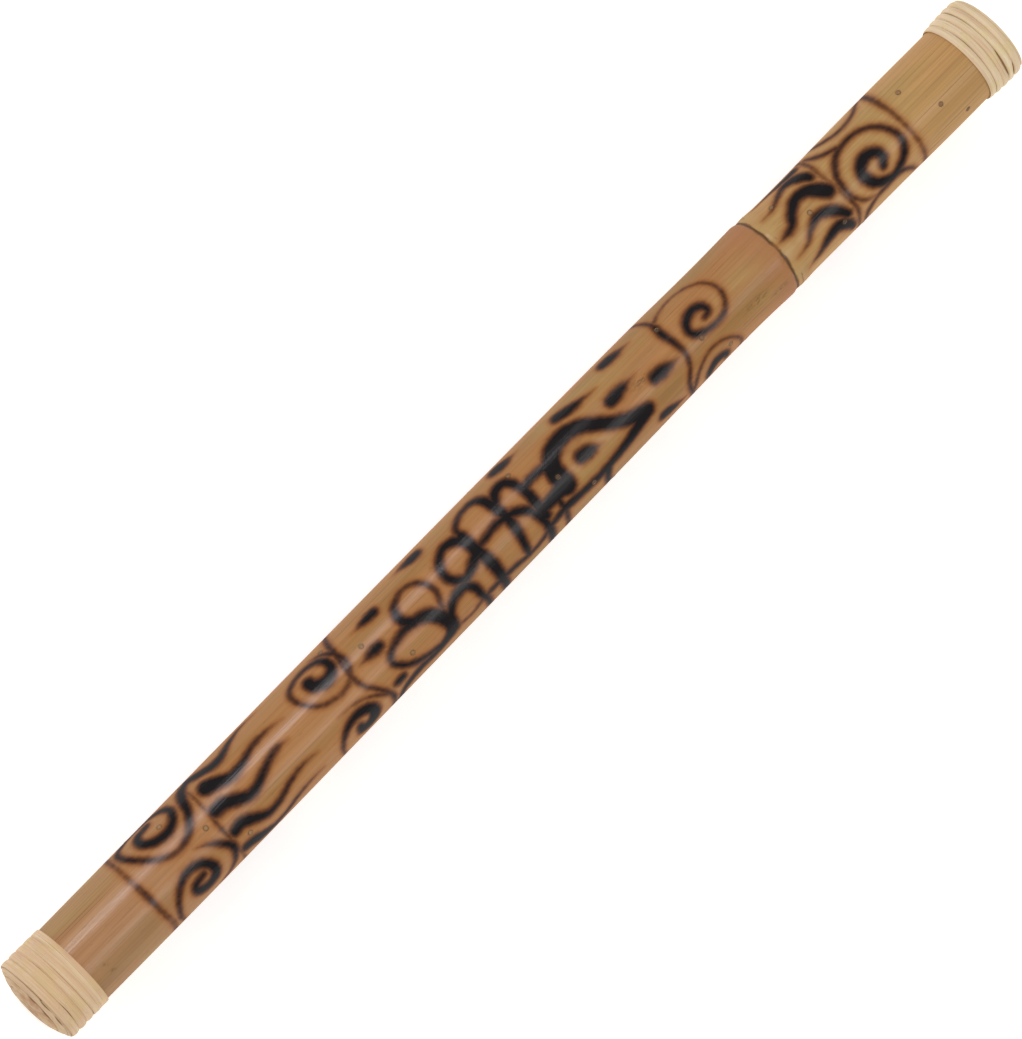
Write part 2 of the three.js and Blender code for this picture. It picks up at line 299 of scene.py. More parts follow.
def heat_field(x, arc):
    """How hot each point of the unrolled culm got. Above 0.8 it is charred, about 0.5 it is
    brown, below 0.1 it is only toasted, and it falls off evenly with distance from the strokes."""
    heat = np.full(len(x), COLD)
    order = np.argsort(x, kind="stable")
    sorted_x = x[order]
    for path, radius, burn in pattern_strokes():
        first, last = np.searchsorted(sorted_x, (path[:, 0].min() - FAR, path[:, 0].max() + FAR))
        near = order[first:last]
        middle = path[:, 1].mean()
        px = x[near]
        py = middle + (arc[near] - middle + ROUND / 2) % ROUND - ROUND / 2
        for i in range(len(path) - 1):
            a, ab = path[i], path[i + 1] - path[i]
            close = np.flatnonzero((abs(px - a[0]) < FAR) & (abs(py - a[1]) < FAR))
            dx, dy = px[close] - a[0], py[close] - a[1]
            t = np.clip((dx * ab[0] + dy * ab[1]) / max(ab @ ab, 1e-9), 0, 1)
            inside = radius[i] + t * (radius[i + 1] - radius[i]) - np.hypot(dx - t * ab[0], dy - t * ab[1])
            hottest = burn[i] + t * (burn[i + 1] - burn[i])
            felt = np.minimum(hottest * EDGE_HEAT + inside * HEAT_FALL, hottest * CORE_HEAT)
            heat[near[close]] = np.maximum(heat[near[close]], felt)
    return heat


# ---- mesh helpers ----

def new_piece(name, vertices, faces, materials, body="root", replaces=(), slot=None, sharp=40):
    """A mesh object from points in metres, riding on a body and standing for CAD nodes."""
    mesh = bpy.data.meshes.new(name)
    mesh.from_pydata([tuple(v) for v in vertices], [], faces)
    mesh.validate()
    for material in materials:
        mesh.materials.append(material)
    piece = bpy.data.objects.new(name, mesh)
    bpy.context.scene.collection.objects.link(piece)
    shade_smooth(mesh, sharp)
    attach(piece, body)
    if replaces:
        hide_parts(*replaces)
    return piece


def shade_smooth(mesh, sharp_degrees):
    mesh.polygons.foreach_set("use_smooth", np.ones(len(mesh.polygons), bool))
    mesh.set_sharp_from_angle(angle=math.radians(sharp_degrees))
    mesh.update()


def store(mesh, name, values):
    """One number for each vertex, which the materials read."""
    attribute = mesh.attributes.new(name, "FLOAT", "POINT")
    attribute.data.foreach_set("value", np.asarray(values, np.float32))


def vectors(items, key):
    """One vector from each of a mesh's vertices or faces, as the rows of an array."""
    rows = np.empty(len(items) * 3, np.float32)
    items.foreach_get(key, rows)
    return rows.reshape(-1, 3).astype(float)


def grid_faces(rows, columns, close_rows=False):
    """Quads over a grid of vertices stored row by row, each row a closed ring."""
    last_row = rows if close_rows else rows - 1
    i, j = np.meshgrid(np.arange(last_row), np.arange(columns), indexing="ij")
    i2, j2 = (i + 1) % rows, (j + 1) % columns
    corners = [i * columns + j, i * columns + j2, i2 * columns + j2, i2 * columns + j]
    return np.stack(corners, -1).reshape(-1, 4).tolist()


def tube_faces(rows, columns):
    """Quads over a grid that closes round its rows, and one face over each end."""
    first, last = range(columns), range((rows - 1) * columns, rows * columns)
    return grid_faces(rows, columns) + [list(first)[::-1], list(last)]


def along_and_round(points):
    """Back from metres to mm along, mm from the axis and degrees round the stick."""
    y, z = points[:, 1], points[:, 2] - AXIS_Z
    return points[:, 0] / MM, np.hypot(y, z) / MM, np.degrees(np.arctan2(-y, z))


# ---- materials ----

class Finish:
    """A material's node tree, built from the base colour down to the Principled shader."""

    def __init__(self, name):
        self.material = bpy.data.materials.new(name)
        self.material.use_nodes = True
        self.tree = self.material.node_tree
        self.shader = self.tree.nodes["Principled BSDF"]

    def node(self, kind, settings=None, **inputs):
        made = self.tree.nodes.new("ShaderNode" + kind)
        for key, value in (settings or {}).items():
            setattr(made, key, value)
        for key, value in inputs.items():
            self.feed(made.inputs[int(key[1:]) if key[1:].isdigit() else key.replace("_", " ")], value)
        return made

    def feed(self, socket, value):
        if isinstance(value, bpy.types.NodeSocket):
            self.tree.links.new(value, socket)
        elif value is not None:
            socket.default_value = value

    def place(self, scale=(1, 1, 1), offset=(0, 0, 0)):
        """Coordinates fixed to the piece, in metres times a scale."""
        source = self.node("TexCoord").outputs["Object"]
        return self.node("Mapping", Vector=source, Scale=scale, Location=offset).outputs[0]

    def value(self, name):
        return self.node("Attribute", {"attribute_name": name}).outputs["Fac"]

    def noise(self, vector, detail=3, roughness=.55, distortion=0):
        return self.node("TexNoise", Vector=vector, Scale=1, Detail=detail, Roughness=roughness,
                         Distortion=distortion).outputs["Fac"]

    def math(self, operation, a, b):
        return self.node("Math", {"operation": operation}, _0=a, _1=b).outputs[0]

    def times(self, a, b):
        return self.math("MULTIPLY", a, b)

    def level(self, value, low, high, out_low=0, out_high=1):
        """Maps low..high to out_low..out_high with smooth ends."""
        return self.node("MapRange", {"interpolation_type": "SMOOTHSTEP"}, Value=value, From_Min=low,
                         From_Max=high, To_Min=out_low, To_Max=out_high).outputs[0]

    def ramp(self, value, *stops):
        made = self.node("ValToRGB", Fac=value)
        ramp = made.color_ramp
        while len(ramp.elements) < len(stops):
            ramp.elements.new(1)
        for element, (at, colour) in zip(ramp.elements, stops):
            element.position, element.color = at, (*colour, 1)
        return made.outputs[0]

    def mix(self, amount, a, b, blend="MIX"):
        made = self.node("Mix", {"data_type": "RGBA", "blend_type": blend})
        self.feed(made.inputs["Factor"], amount)
        for socket, value in zip([s for s in made.inputs if s.type == "RGBA"], (a, b)):
            self.feed(socket, (*value, 1) if isinstance(value, tuple) and len(value) == 3 else value)
        return next(s for s in made.outputs if s.type == "RGBA")

    def stain(self, colour, value, low, high, strength, tint):
        """Tints the colour up to a strength as value goes from low to high."""
        return self.mix(self.level(value, low, high, 0, strength), colour, srgb(*tint))

    def bump(self, height, distance, strength=1, under=None):
        return self.node("Bump", Height=height, Distance=distance, Strength=strength,
                         Normal=under).outputs[0]

    def finish(self, colour, roughness, normal=None, **settings):
        self.feed(self.shader.inputs["Base Color"], colour)
        self.feed(self.shader.inputs["Roughness"], roughness)
        self.feed(self.shader.inputs["Normal"], normal)
        for key, value in settings.items():
            self.shader.inputs[key.replace("_", " ")].default_value = value
        return self.material


def srgb(red, green, blue):
    """A colour as it is seen, 0 to 255, as the linear colour that a shader works with."""
    return tuple((c / 255 / 12.92) if c <= 10 else ((c / 255 + .055) / 1.055) ** 2.4
                 for c in (red, green, blue))


def bamboo_skin():
    """Bamboo with a thin lacquer, marked at the node, burnt, and dirty here and there."""
    f = Finish("burnt_bamboo_skin")
    colour = burn_skin(f, mark_node(f, plain_skin(f)))
    # Round each peg the skin is stained by the drill.
    colour = f.mix(f.level(f.value("peg"), 1.1, 1.8, .45, 0), colour, srgb(92, 66, 42))
    mould = f.level(f.noise(f.place((420, 1200, 1200), (7, 0, 0)), 3, .7), .42, .6)
    mould = f.times(mould, f.value("blemish"))
    colour = f.mix(f.times(mould, .7), colour, srgb(104, 78, 50))
    rough = f.level(f.noise(f.place((30, 700, 700), (1, 1, 1)), 3), .3, .7, .3, .45)
    ridges = f.bump(f.noise(f.place((5, 1300, 1300), (0, 3, 2)), 3, .65), .00016, .6)
    pits = f.bump(f.noise(f.place((260, 900, 900)), 2), .00006, .4, ridges)
    f.feed(f.shader.inputs["Coat Normal"], pits)
    return f.finish(colour, rough, pits, Specular_IOR_Level=0, Coat_Weight=.16, Coat_Roughness=.2,
                    Coat_IOR=2)


def plain_skin(f):
    """Bamboo before it was burnt: streaks of pink and olive, fibres, hairlines and flecks. It is
    pinker to the left of the stick and yellower beyond the node."""
    tone = f.noise(f.place((5, 55, 55), (0, 1.7, .3)), 3, .5, .3)
    colour = f.ramp(tone, (.3, srgb(150, 114, 67)), (.44, srgb(168, 125, 75)), (.56, srgb(178, 127, 79)),
                    (.7, srgb(190, 147, 101)))
    x = f.node("SeparateXYZ", Vector=f.place()).outputs["X"]
    colour = f.stain(colour, x, -.16, -.26, .4, (174, 136, 106))
    colour = f.stain(colour, x, .156, .17, .6, (208, 166, 108))
    olive = f.level(f.noise(f.place((9, 38, 38), (3.1, .4, 0)), 2), .5, .66, 0, .5)
    colour = f.mix(olive, colour, srgb(174, 148, 92))
    fibre = f.noise(f.place((14, 900, 900)), 4, .6)
    colour = f.stain(colour, fibre, .3, .7, .32, (132, 94, 62))
    hair = f.noise(f.place((7, 1500, 1500), (5, 0, 0)), 2, .5)
    colour = f.stain(colour, hair, .62, .72, .4, (104, 70, 44))
    fleck = f.noise(f.place((180, 1500, 1500), (0, 0, 5)), 2, .5)
    return f.stain(colour, fleck, .66, .78, .3, (108, 70, 44))


def mark_node(f, colour):
    """The node: a dark scar, a pale lip beyond it and redder bamboo before it."""
    scar = f.math("ADD", f.value("scar"), f.level(f.noise(f.place((300, 200, 200))), .3, .7, -.35, .35))
    before = f.times(f.level(scar, -22, -2), f.level(scar, -.4, .4, 1, 0))
    colour = f.mix(f.times(before, .65), colour, srgb(168, 113, 76))
    beyond = f.times(f.level(scar, .6, 1.4), f.level(scar, 3, 9, 1, 0))
    colour = f.mix(f.times(beyond, .55), colour, srgb(190, 156, 102))
    line = f.times(f.level(scar, -1.6, -.2), f.level(scar, .1, 1.1, 1, 0))
    colour = f.mix(f.times(line, .85), colour, srgb(74, 52, 34))
    ripple = f.times(f.level(scar, 2.2, 2.9), f.level(scar, 3, 3.8, 1, 0))
    broken = f.level(f.noise(f.place((60, 110, 110), (0, 4, 0))), .48, .6, 0, .5)
    return f.mix(f.times(ripple, broken), colour, srgb(96, 66, 38))


def burn_skin(f, colour):
    """The burnt pattern: toasted and amber round the strokes, then brown, then charred."""
    waver = f.level(f.noise(f.place((260, 420, 420), (2, 0, 1)), 3, .6), .2, .8, -.09, .09)
    heat = f.math("ADD", f.value("burnt"), waver)
    colour = f.stain(colour, heat, -1.1, .1, .34, (168, 114, 64))
    colour = f.stain(colour, heat, -.35, .4, .72, (146, 90, 46))
    colour = f.stain(colour, heat, .08, .72, .94, (74, 41, 26))
    return f.stain(colour, heat, .6, 1, 1, (20, 16, 17))


def bamboo_cut():
    """The raw inside of the bamboo, where it is sawn, drilled or hollow."""
    f = Finish("raw_bamboo")
    pores = f.noise(f.place((900, 900, 900)), 3, .6)
    streaks = f.noise(f.place((20, 600, 600)), 4, .6)
    colour = f.ramp(streaks, (.3, srgb(176, 140, 92)), (.7, srgb(208, 178, 130)))
    colour = f.stain(colour, pores, .55, .7, .5, (120, 88, 52))
    return f.finish(colour, .75, f.bump(streaks, .0002, .6), Specular_IOR_Level=.3)


def peg_bamboo():
    f = Finish("peg_bamboo")
    grain = f.noise(f.place((2200, 2200, 2200)), 3, .6)
    colour = f.ramp(grain, (.3, srgb(134, 100, 64)), (.55, srgb(160, 124, 82)), (.75, srgb(178, 142, 98)))
    colour = f.mix(f.times(f.value("aged"), .85), colour, srgb(104, 62, 38))
    colour = f.stain(colour, f.value("burnt"), .1, .9, .8, (52, 38, 28))
    colour = f.stain(colour, f.value("rim"), .75, 1, .5, (96, 68, 42))
    return f.finish(colour, .55, f.bump(grain, .00015, .7), Specular_IOR_Level=.4)


def rattan_cane():
    """Split cane: long fibres that follow each strand, with painted shade on its sides that is darkest
    where two strands meet.
    """
    f = Finish("rattan_cane")
    along, across, strand = f.value("along"), f.value("across"), f.value("strand")

    def fibres(lengthwise, crosswise, detail):
        lie = f.node("CombineXYZ", X=f.times(along, lengthwise), Y=f.times(across, crosswise), Z=strand)
        return f.noise(lie.outputs[0], detail, .6)

    colour = f.ramp(fibres(.02, .4, 3), (.3, srgb(222, 192, 155)), (.5, srgb(231, 208, 172)),
                    (.7, srgb(238, 221, 184)))
    straw = f.level(f.noise(f.place((110, 110, 110), (0, 3, 0)), 3), .48, .62, 0, .5)
    colour = f.mix(straw, colour, srgb(226, 206, 150))
    fine = fibres(.035, 2.6, 4)
    colour = f.stain(colour, fine, .42, .7, .3, (190, 154, 116))
    colour = f.stain(colour, fibres(.03, 1.7, 2), .58, .68, .34, (162, 124, 88))
    # Painted shade: the strand's sides darken softly, and darkly where two strands meet and beneath it.
    colour = f.stain(colour, f.value("painted_side_shade"), 0, .8, .35, (196, 160, 118))
    colour = f.stain(colour, f.value("painted_side_shade"), .7, 1, .6, (124, 90, 58))
    # The coils are browner towards their middles, and the left end is browner than the right.
    aged = f.level(f.noise(f.place((150, 150, 150), (6, 0, 0)), 4, .6), .38, .62, .1, .85)
    colour = f.mix(f.times(aged, f.value("aged")), colour, srgb(198, 156, 112))
    x = f.node("SeparateXYZ", Vector=f.place()).outputs["X"]
    colour = f.mix(f.level(x, .1, -.1), colour, (.9, .81, .76), "MULTIPLY")
    pore = f.noise(f.place((900, 900, 900)), 3, .6)
    colour = f.stain(colour, pore, .6, .75, .3, (176, 138, 100))
    relief = f.bump(pore, .00012, .5, f.bump(fine, .00035, .7))
    return f.finish(colour, f.level(fine, .3, .7, .55, .72), relief, Specular_IOR_Level=.3)


# Painted shade: a dark brown finish for the sheet under each coil, so that the coil's gaps look shaded.
def painted_gap_shade():
    f = Finish("painted_gap_shade")
    grain = f.noise(f.place((600, 600, 600)), 4, .6)
    colour = f.ramp(grain, (.35, srgb(52, 36, 22)), (.7, srgb(98, 70, 42)))
    return f.finish(colour, .85, f.bump(grain, .0003, .6))


def plug_wood():
    f = Finish("plug_wood")
    rings = f.node("TexWave", {"wave_type": "RINGS", "rings_direction": "X"},
                   Vector=f.place((1, 1, 1), (0, .01, -.03)), Scale=90, Distortion=2.2, Detail=3,
                   Detail_Scale=1.4).outputs["Fac"]
    grain = f.noise(f.place((60, 1200, 1200)), 4, .6)
    colour = f.ramp(rings, (.2, srgb(176, 136, 88)), (.8, srgb(206, 172, 122)))
    colour = f.stain(colour, grain, .5, .75, .4, (138, 100, 60))
    return f.finish(colour, .7, f.bump(grain, .0002, .5), Specular_IOR_Level=.3)


def river_stone():
    f = Finish("river_stone")
    cloud = f.noise(f.place((260, 260, 260)), 3)
    grit = f.noise(f.place((2400, 2400, 2400)), 3, .6)
    colour = f.ramp(cloud, (.3, srgb(92, 84, 78)), (.5, srgb(132, 118, 100)), (.7, srgb(158, 146, 130)))
    colour = f.stain(colour, grit, .55, .75, .6, (64, 58, 54))
    return f.finish(colour, f.level(grit, .3, .7, .6, .85), f.bump(grit, .0002, .5))


def floor_paper():
    """White paper lit from below as well as above, as on a light table."""
    f = Finish("floor_paper")
    mottle = f.noise(f.place((30, 30, 30)), 3)
    colour = f.ramp(mottle, (.3, (.86, .86, .86)), (.7, (.9, .9, .9)))
    return f.finish(colour, .9, Specular_IOR_Level=.1, Emission_Color=(1, 1, 1, 1), Emission_Strength=.5)


SKIN, CUT, PEG = bamboo_skin(), bamboo_cut(), peg_bamboo()
CANE, GAP_SHADE = rattan_cane(), painted_gap_shade()
PLUG, STONE = plug_wood(), river_stone()


# ---- culm ----

# Blemishes of the skin: mm along, degrees round, and how far they reach along and round in mm.
BLEMISHES = [(-270, 28, 1, .9), (-269, 42, 1.6, 1), (-51, -6, 1.2, 1), (-50, -28, 1.3, .9),
             (73, -5, 5.5, 2.4), (136, 32, 6.5, 2), (148, 45, 5, 1.2), (20, 128, 7, 2),
             (-160, 172, 6, 1.6), (206, -118, 5, 2)]

AROUND = 132  # vertices in a ring
SKIN_STEP = 0.92  # mm between rings on the bare skin
ARRIS = .4  # mm eased off the sawn ends' edges
DRILL_RADIUS = 1.13
DRILL_SPAN = (12.5, 24)  # mm from the axis: from inside the bore to well outside the culm
PEG_SIDES = 14


def peg_places():
    """Each CAD peg's name, place along the stick and angle round it, from its outer end."""
    for name in sorted(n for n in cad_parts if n.startswith("peg_")):
        points = vectors(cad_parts[name].data.vertices, "co")
        _, radius, _ = along_and_round(points)
        head = points[radius > radius.max() - .5].mean(0)
        yield name, head[0] / MM, math.degrees(math.atan2(-head[1], head[2] - AXIS_Z))


PEGS = list(peg_places())


def culm_rings():
    """Rings of the culm's closed section: out along the skin, and back through the bore."""
    bare = np.arange(-BARE_HALF - 1, BARE_HALF + 1, SKIN_STEP)
    outer = np.concatenate([[-CULM_HALF, -CULM_HALF + ARRIS],
                            np.linspace(-CULM_HALF + 3, bare[0] - 3, 5), bare,
                            np.linspace(bare[-1] + 3, CULM_HALF - 3, 5), [CULM_HALF - ARRIS, CULM_HALF]])
    inner = np.concatenate([[CULM_HALF, CULM_HALF - ARRIS], np.linspace(CULM_HALF - 20, LEDGE_X + 5, 6),
                            LEDGE_X + np.array([2.6, 1.9, 1.1, -1.1, -1.9, -2.6]),
                            np.linspace(LEDGE_X - 5, 20 - CULM_HALF, 16), [ARRIS - CULM_HALF, -CULM_HALF]])
    return outer, inner


def eased(x):
    """How far the wall is cut back at mm along the stick, to ease the sawn ends' edges."""
    return np.clip(ARRIS - (CULM_HALF - abs(x)), 0, ARRIS)[:, None]


def culm_mesh():
    angles = np.arange(AROUND) * 360 / AROUND
    outer, inner = culm_rings()
    skin = place(outer[:, None], outer_radius(outer[:, None], angles) - eased(outer), angles)
    ledge = np.clip(2.2 - abs(inner - LEDGE_X) * .8, 0, 1)[:, None]
    worn = .012 * (1 + np.cos(3 * np.radians(angles) + 1))
    wall = BORE_RADIUS - ledge * (BORE_RADIUS - LEDGE_RADIUS) + worn + eased(inner)
    bore = place(inner[:, None], wall, angles)
    rings = np.concatenate([skin, bore])
    return rings.reshape(-1, 3), grid_faces(len(rings), AROUND, close_rows=True)


def peg_drill(x, degrees):
    """One drill's solid."""
    turn = np.radians(np.arange(PEG_SIDES) * 360 / PEG_SIDES)
    at = radial_frame(x, degrees)
    ring = [(DRILL_RADIUS * math.cos(t), DRILL_RADIUS * math.sin(t)) for t in turn]
    points = [at @ Vector((u, v, height)) for height in DRILL_SPAN for u, v in ring]
    return points, tube_faces(2, PEG_SIDES)


def radial_frame(x, degrees):
    """A matrix from mm at a peg (along the stick, across it, outwards) to metres."""
    a = math.radians(degrees)
    outwards = Vector((0, -math.sin(a), math.cos(a)))
    across = outwards.cross(Vector((1, 0, 0)))
    turn = Matrix((Vector((1, 0, 0)), across, outwards)).transposed().to_4x4()
    return Matrix.Translation((x * MM, 0, AXIS_Z)) @ turn @ Matrix.Scale(MM, 4)


def cut_away(piece, points, faces):
    """Takes a closed solid out of a piece, for good."""
    mesh = bpy.data.meshes.new("cutter")
    mesh.from_pydata([tuple(p) for p in points], [], faces)
    cutter = bpy.data.objects.new("cutter", mesh)
    bpy.context.scene.collection.objects.link(cutter)
    modifier = piece.modifiers.new("cut", "BOOLEAN")
    modifier.operation, modifier.object, modifier.solver = "DIFFERENCE", cutter, "MANIFOLD"
    bpy.context.view_layer.update()
    result = bpy.data.meshes.new_from_object(piece.evaluated_get(bpy.context.evaluated_depsgraph_get()))
    piece.modifiers.clear()
    old, piece.data = piece.data, result
    bpy.data.meshes.remove(old)
    bpy.data.objects.remove(cutter)


def turned_from(degrees, start):
    """The turn from start, in radians, by the shorter way round."""
    return np.radians((degrees - start + 180) % 360 - 180)


def mark_culm(mesh):
    """Stores on the culm what its material shows, and gives the cut faces their own finish."""
    x, radius, degrees = along_and_round(vectors(mesh.vertices, "co"))
    arc = np.radians(degrees) * PATTERN_RADIUS
    on_skin = radius > outer_radius(x, degrees) - .5
    heat = np.full(len(x), COLD)
    heat[on_skin] = heat_field(x[on_skin], arc[on_skin])
    store(mesh, "burnt", heat)
    store(mesh, "scar", x - scar_line(degrees))
    peg = np.full(len(x), FAR)
    for _, peg_x, peg_degrees in PEGS:
        peg = np.minimum(peg, np.hypot(x - peg_x, turned_from(degrees, peg_degrees) * radius))
    store(mesh, "peg", peg)
    blemish = np.zeros(len(x))
    for spot_x, spot_degrees, long, wide in BLEMISHES:
        away = turned_from(degrees, spot_degrees) * radius
        blemish += np.exp(-((x - spot_x) / long) ** 2 - (away / wide) ** 2)
    store(mesh, "blemish", blemish)
    face_x, face_radius, face_degrees = along_and_round(vectors(mesh.polygons, "center"))
    raw = (face_radius < outer_radius(face_x, face_degrees) - .25) | (abs(face_x) > CULM_HALF - ARRIS - .05)
    mesh.polygons.foreach_set("material_index", raw.astype(np.int32))


def make_culm():
    points, faces = culm_mesh()
    culm = new_piece("bamboo_culm", points, faces, [SKIN, CUT], replaces=["culm"], slot="bamboo")
    drills, drill_faces = [], []
    for _, x, degrees in PEGS:
        solid, solid_faces = peg_drill(x, degrees)
        drill_faces += [[i + len(drills) for i in face] for face in solid_faces]
        drills += solid
    cut_away(culm, drills, drill_faces)
    shade_smooth(culm.data, 35)
    mark_culm(culm.data)


# ---- pegs ----

PEG_SHANK = [(-5, .35), (-4.6, .55), (0, 1), (8, 1.03), (14, 1.05)]  # (mm from the axis, radius)
PEG_HEAD = [(-.25, 1.06), (0, .99), (.02, .6), (.03, .25)]  # (mm from the skin, radius)


def make_pegs():
    """Whittled slivers pushed in through the wall, with their cut heads flush with the skin."""
    rng = np.random.default_rng(SEED)
    turn = np.arange(PEG_SIDES) * 2 * math.pi / PEG_SIDES
    _, places, angles = zip(*PEGS)
    burns = heat_field(np.array(places), np.radians(angles) * PATTERN_RADIUS)
    for (name, x, degrees), burn in zip(PEGS, burns):
        head = float(outer_radius(x, degrees)) + rng.uniform(-.12, .08)
        whittled = 1 + sum(.045 * np.cos(k * turn + rng.uniform(0, 6)) for k in (3, 5))
        slope = rng.uniform(-.09, .09, 2)
        profile = PEG_SHANK + [(head + h, r) for h, r in PEG_HEAD]
        at = radial_frame(x, degrees)
        points = []
        for h, r in profile:
            u, v = r * whittled * np.cos(turn), r * whittled * np.sin(turn)
            lift = u * slope[0] + v * slope[1] if h > PEG_SHANK[-1][0] else 0 * u
            points += [at @ Vector((a, b, h + c)) for a, b, c in zip(u, v, lift)]
        piece = new_piece(name.replace("peg", "bamboo_peg"), points, tube_faces(len(profile), PEG_SIDES),
                          [PEG], replaces=[name], slot="peg_bamboo", sharp=50)
        store(piece.data, "rim", np.repeat([r for _, r in profile], PEG_SIDES))
        store(piece.data, "aged", np.full(len(points), rng.uniform(0, 1) ** 1.3))
        store(piece.data, "burnt", np.full(len(points), burn))


# ---- rattan ----

CANE_WIDTH = 4.4  # mm, for the fibres' scale


def strand_section(samples=25, fibres=6):
    """A strand's section over its width of 1: how far across, how high, and how far the height
    falls towards its sides. Fine grooves run between its fibres. The last points lie beneath."""
    across = np.linspace(-1, 1, samples)
    groove = .06 * (1 - np.abs(np.cos(across * math.pi * fibres / 2))) ** 3 * (np.abs(across) < .93)
    fall = np.abs(across) ** 2.5
    over = np.stack([across / 2, 1 - groove, fall], -1)
    return np.vstack([over, [(.44, -.12, 0), (0, -.16, 0), (-.44, -.12, 0)]])


def wander(rng, count, waves, size):
    """A smooth random value at each of count steps."""
    knots = rng.normal(0, size, waves + 3)
    return np.interp(np.linspace(0, waves, count), np.arange(waves + 3), knots)


def sweep_strand(centres, outwards, sideways, width, height, drop, section):
    """A closed strand of cane: a section carried along points, with both ends capped. drop is
    how much of the height is lost at the strand's sides."""
    u = section[:, 0, None] * width[:, None, None]
    v = (section[:, 1] - drop[:, None] * section[:, 2])[..., None] * height[:, None, None]
    points = centres[:, None] + u * sideways[:, None] + v * outwards[:, None]
    return points.reshape(-1, 3), tube_faces(*points.shape[:2])


def strand_marks(length, drop, section, strand, shade, aged):
    """What the cane's material reads: mm along, mm across, the painted shade of its sides and underside,
    how much it has aged, and a seed."""
    # Painted shade: the sides darken as they fall away, and the points beneath are shaded in full.
    painted_side_shade = section[:, 2] ** 2 * (np.clip(drop * 2, 0, 1) * shade)[:, None]
    painted_side_shade = np.where(section[:, 1] < 0, 1, painted_side_shade)
    rows = len(length)
    return {"along": np.repeat(length, len(section)), "across": np.tile(section[:, 0] * CANE_WIDTH, rows),
            "painted_side_shade": painted_side_shade.ravel(), "aged": np.repeat(aged, len(section)),
            "strand": np.full(rows * len(section), strand)}


def add_strand(name, node, points, faces, marks):
    strand = new_piece(name, points, facing_out(points, faces), [CANE], replaces=[node], slot="rattan",
                       sharp=60)
    for key, values in marks.items():
        store(strand.data, key, values)


WINDING_TURNS = 5
WINDING_RADIUS = 21  # mm, turns an angle into a length along the strand
STEPS_PER_TURN = 140
CROSSING = .16  # share of a turn that the strand takes to move over to the next


def rim_winding(side, span, crests, drops, splits, rng):
    """Cane wound round the end of the culm. Each turn lies square to the stick and crosses over
    to the next underneath, where it doesn't show. side is -1 or 1 and span is where it starts and
    ends. crests are the turns' outer radii and drops the depths of their sides. splits are where
    the strand draws back from the next: turns, half the split's turns, and mm wide."""
    section = strand_section()
    turns = np.linspace(-.5, WINDING_TURNS - .5, WINDING_TURNS * STEPS_PER_TURN + 1)
    whole = np.floor(turns + .5)
    over = np.clip((turns + .5 - whole) / CROSSING, 0, 1)
    lane = np.clip(whole - 1 + over * over * (3 - 2 * over), 0, WINDING_TURNS - 1)
    lanes = np.arange(WINDING_TURNS)
    degrees = turns * 360
    inner = np.clip(lane, 0, 1) * np.clip(WINDING_TURNS - 1 - lane, 0, 1)
    pitch = (span[1] - span[0]) / WINDING_TURNS
    x = span[0] + pitch * (lane + .5) + wander(rng, len(turns), 34, .12) * inner
    width = pitch * (1 + (.03 + wander(rng, len(turns), 26, .03)) * inner)
    for at, half, gap in splits:
        pinch = gap * np.clip(1 - ((turns - at) / half) ** 2, 0, 1)
        x, width = x - pinch / 2, width - pinch
    seat = outer_radius(side * x, degrees) + .1
    height = np.interp(lane, lanes, crests) + wander(rng, len(turns), 40, .05) - seat
    drop = np.interp(lane, lanes, drops) * (1 + wander(rng, len(turns), 30, .25))
    sideways = np.tile([side, 0, 0], (len(turns), 1))
    points, faces = sweep_strand(place(side * x, seat, degrees), radial_direction(degrees), sideways,
                                 width * MM, height * MM, drop, section)
    shade = np.interp(lane, [WINDING_TURNS - 2, WINDING_TURNS - 1], [1, .5])
    length = np.radians(degrees) * WINDING_RADIUS
    return points, faces, strand_marks(length, drop, section, side, shade, 0 * lane)


def radial_direction(degrees):
    a = np.radians(degrees)
    return np.stack([0 * a, -np.sin(a), np.cos(a)], -1)


COIL_PITCH = 4.15
COIL_TURNS = 5.1
COIL_START = 1.2  # mm from the middle to the strand's own middle, where it starts
COIL_EDGE = 20.9  # mm, and no turn reaches beyond it
COIL_AT = 40  # degrees round the stick where it starts
COIL_DEPTH = 1.2  # mm from the coil's top to the dark sheet of painted shade under it
DOME_RADIUS = 21.3  # mm, where the end has fallen back by its whole bulge
# Where the coil is cracked open: turns from its middle, half the crack's turns, and mm wide.
CRACKS = [(.3, .1, .8), (1.12, .16, .9), (1.7, .1, .8), (2.32, .04, .9), (2.75, .08, .9), (3.04, .04, 1.2),
          (3.13, .03, 1.3), (3.6, .06, .8), (4, .03, 1), (4.08, .03, 1.2)]


